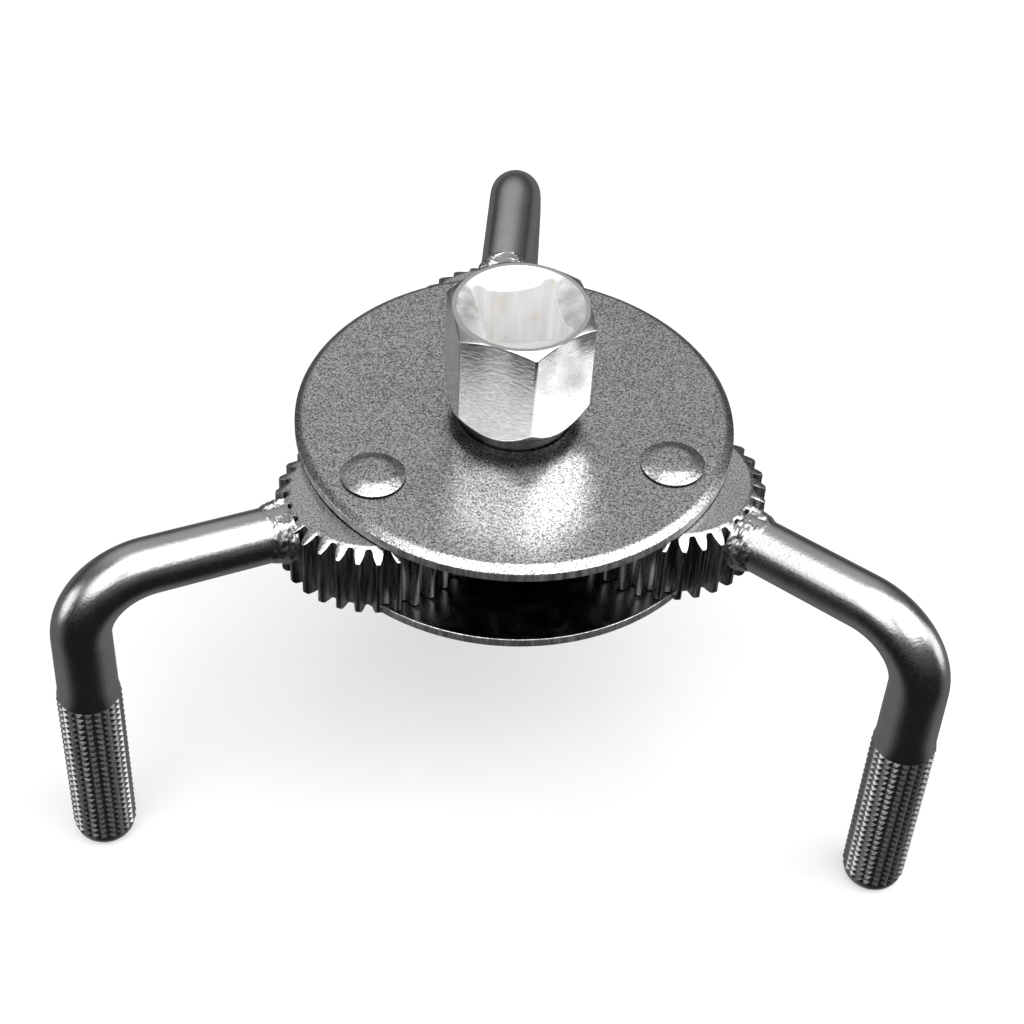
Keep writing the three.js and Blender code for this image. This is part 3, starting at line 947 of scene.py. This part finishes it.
def build_wrench():
    plate_steel = blasted_plate()
    # Near-black painted shade for the hub's neck and shank, the rivets' steep sides and round the rivet holes.
    recess_shade = painted_recess_shade()
    # The flanks take a darker copy of the gear steel, as painted shade.
    gear_materials = [gear_steel(), shaded_tooth_flank()]
    rod_steel = rod_chrome()
    bead_metal = weld_metal()
    build_plates(plate_steel, recess_shade)
    build_drive(gear_materials, recess_shade)
    for seed, leg in enumerate(LEGS):
        build_jaw(leg, seed, gear_materials, [plate_steel, recess_shade], rod_steel, bead_metal)


# ---- Studio --------------------------------------------------------------------------------------

CAMERA_ELEVATION = math.radians(44.721)
CAMERA_TURN = math.radians(8.181)
CAMERA_ROLL = math.radians(3.553)
CAMERA_DISTANCE = 363.8
CAMERA_LENS = 79.59
AIM_ASIDE = 0.515
AIM_NEAR = 23.95
SENSOR_WIDTH = 36


def add_camera():
    """The camera, aimed at a point in the top plate's plane in front of the hub."""
    about_z = Matrix.Rotation(-CAMERA_TURN, 3, "Z")
    aim = about_z @ Vector((AIM_ASIDE, -AIM_NEAR, 0)) + Vector((0, 0, PLATE_TOP))
    ahead = about_z @ Vector((0, math.cos(CAMERA_ELEVATION), -math.sin(CAMERA_ELEVATION)))
    right = about_z @ Vector((1, 0, 0))
    up = right.cross(ahead)
    rolled_right = right * math.cos(CAMERA_ROLL) + up * math.sin(CAMERA_ROLL)
    rolled_up = up * math.cos(CAMERA_ROLL) - right * math.sin(CAMERA_ROLL)
    data = bpy.data.cameras.new("camera")
    data.lens = CAMERA_LENS
    data.sensor_width = SENSOR_WIDTH
    data.clip_start = 0.01
    camera = bpy.data.objects.new("camera", data)
    axes = Matrix((rolled_right, rolled_up, -ahead)).transposed().to_4x4()
    camera.matrix_world = Matrix.Translation((aim - ahead * CAMERA_DISTANCE) * MM) @ axes
    bpy.context.scene.collection.objects.link(camera)
    bpy.context.scene.camera = camera


def add_floor():
    """A wide pale floor under the feet, which doesn't show in the steel's reflections."""
    size = 20
    mesh = bpy.data.meshes.new("floor")
    level = FOOT_LEVEL * MM
    corners = [(-size, -size, level), (size, -size, level), (size, size, level), (-size, size, level)]
    mesh.from_pydata(corners, [], [(0, 1, 2, 3)])
    mesh.materials.append(pale_floor_material())
    floor = bpy.data.objects.new("floor", mesh)
    floor.visible_glossy = False
    bpy.context.scene.collection.objects.link(floor)


# Bright parts of the studio: azimuth from +X and elevation, then the angles from the middle within which
# it is at full strength and beyond which it is dark, all in degrees, and its strength.
GLOWS = {
    "ceiling": (-73, 69, 28, 44, 2.4),
    "right": (-8, 42, 12, 28, 2.2),
    "front_left": (229, 44, 14, 34, 1.5),
    "left_wall": (178, 3, 6, 22, 1.4),
    "right_wall": (2, 3, 6, 22, 1.4),
    "back": (100, 47, 6, 48, 0.27),
}
# The dark shape of the camera and its stand, in the same terms but for the strength.
CAMERA_SHADE = (-98, 45, 6, 14)
CAMERA_DIMMING = 0.2
# The dim rest of it: below the horizon in front and behind, and above it at the horizon and overhead.
FRONT_FLOOR = 0.012
SIDE_FLOOR = 0.15
ROOM_LOW = 0.05
ROOM_HIGH = 0.17
# Where those fade into each other, as sines of elevations and of the turn from the side.
FLOOR_TURNS_DARK = -0.55
HORIZON_START = -0.2
ROOM_FULL = 0.6
BACKDROP = (0.95, 0.95, 0.95, 1)


class World:
    """The surroundings' nodes."""

    def __init__(self):
        world = bpy.data.worlds.new("studio")
        bpy.context.scene.world = world
        world.use_nodes = True
        self.nodes, self.links = world.node_tree.nodes, world.node_tree.links
        self.direction = self.nodes.new("ShaderNodeTexCoord").outputs["Generated"]

    def towards(self, azimuth, elevation):
        """The cosine of the angle between the direction looked in and this one."""
        a, e = math.radians(azimuth), math.radians(elevation)
        node = self.nodes.new("ShaderNodeVectorMath")
        node.operation = "DOT_PRODUCT"
        self.links.new(self.direction, node.inputs[0])
        node.inputs[1].default_value = (math.cos(a) * math.cos(e), math.sin(a) * math.cos(e), math.sin(e))
        return node.outputs["Value"]

    def fade(self, value, start, end, low, high):
        """Goes smoothly from low to high as value goes from start to end."""
        node = self.nodes.new("ShaderNodeMapRange")
        node.interpolation_type = "SMOOTHSTEP"
        for name, number in (("From Min", start), ("From Max", end), ("To Min", low), ("To Max", high)):
            node.inputs[name].default_value = number
        self.links.new(value, node.inputs["Value"])
        return node.outputs["Result"]

    def combine(self, how, a, b):
        node = self.nodes.new("ShaderNodeMath")
        node.operation = how
        self.links.new(a, node.inputs[0])
        self.links.new(b, node.inputs[1])
        return node.outputs["Value"]


def add_surroundings():
    """Soft surroundings: pale where seen directly, and for light and reflections a studio that is bright
    overhead and at its sides, and dark in front below the horizon."""
    world = World()
    total = None
    for azimuth, elevation, full, dark, strength in GLOWS.values():
        near, far = math.cos(math.radians(full)), math.cos(math.radians(dark))
        glow = world.fade(world.towards(azimuth, elevation), far, near, 0, strength)
        total = glow if total is None else world.combine("ADD", total, glow)
    backward = world.towards(90, 0)
    floor = world.fade(backward, FLOOR_TURNS_DARK, 0.0, FRONT_FLOOR, SIDE_FLOOR)
    upward = world.towards(0, 90)
    room = world.fade(upward, 0.0, ROOM_FULL, ROOM_LOW, ROOM_HIGH)
    lower = world.combine("MULTIPLY", floor, world.fade(upward, HORIZON_START, 0.0, 1, 0))
    upper = world.combine("MULTIPLY", room, world.fade(upward, HORIZON_START, 0.0, 0, 1))
    total = world.combine("ADD", total, world.combine("ADD", lower, upper))
    azimuth, elevation, dark, clear = CAMERA_SHADE
    edge, middle = math.cos(math.radians(clear)), math.cos(math.radians(dark))
    shade_there = world.fade(world.towards(azimuth, elevation), edge, middle, 1, CAMERA_DIMMING)
    total = world.combine("MULTIPLY", total, shade_there)
    studio = world.nodes["Background"]
    world.links.new(total, studio.inputs["Strength"])
    studio.inputs["Color"].default_value = (1, 1, 1, 1)
    seen = world.nodes.new("ShaderNodeBackground")
    seen.inputs["Color"].default_value = BACKDROP
    mix = world.nodes.new("ShaderNodeMixShader")
    world.links.new(world.nodes.new("ShaderNodeLightPath").outputs["Is Camera Ray"], mix.inputs["Fac"])
    world.links.new(studio.outputs["Background"], mix.inputs[1])
    world.links.new(seen.outputs["Background"], mix.inputs[2])
    world.links.new(mix.outputs["Shader"], world.nodes["World Output"].inputs["Surface"])


build_wrench()
add_camera()
add_floor()
add_surroundings()
bpy.context.scene.view_settings.view_transform = "Standard"
